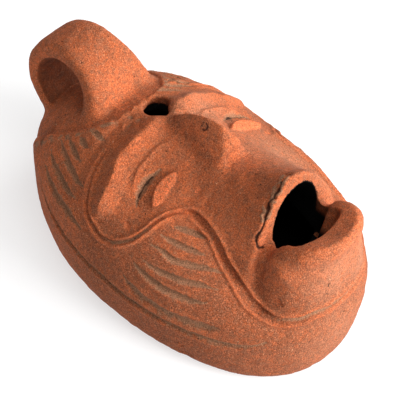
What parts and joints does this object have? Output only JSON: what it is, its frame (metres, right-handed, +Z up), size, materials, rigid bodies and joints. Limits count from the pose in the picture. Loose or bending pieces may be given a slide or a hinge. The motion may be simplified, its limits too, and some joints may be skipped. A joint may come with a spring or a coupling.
{
  "type": "anthropomorphic terracotta lamp",
  "caption": "Hollow hand lamp of fired clay shaped as an upturned bearded face, with a wick hole in the open mouth, a filling hole on the forehead and a ring handle behind.",
  "frame": {"origin": "middle of the flat underside", "axes": "-Y towards the chin and spout, +Y towards the ring handle, +Z up, +X to the right when seen from the chin end"},
  "size_m": [0.0636, 0.1034, 0.0538],
  "materials": {
    "terracotta": "matte, sandy, unglazed"
  },
  "bodies": {
    "root": {"lamp_body": "terracotta"}
  },
  "joints": []
}
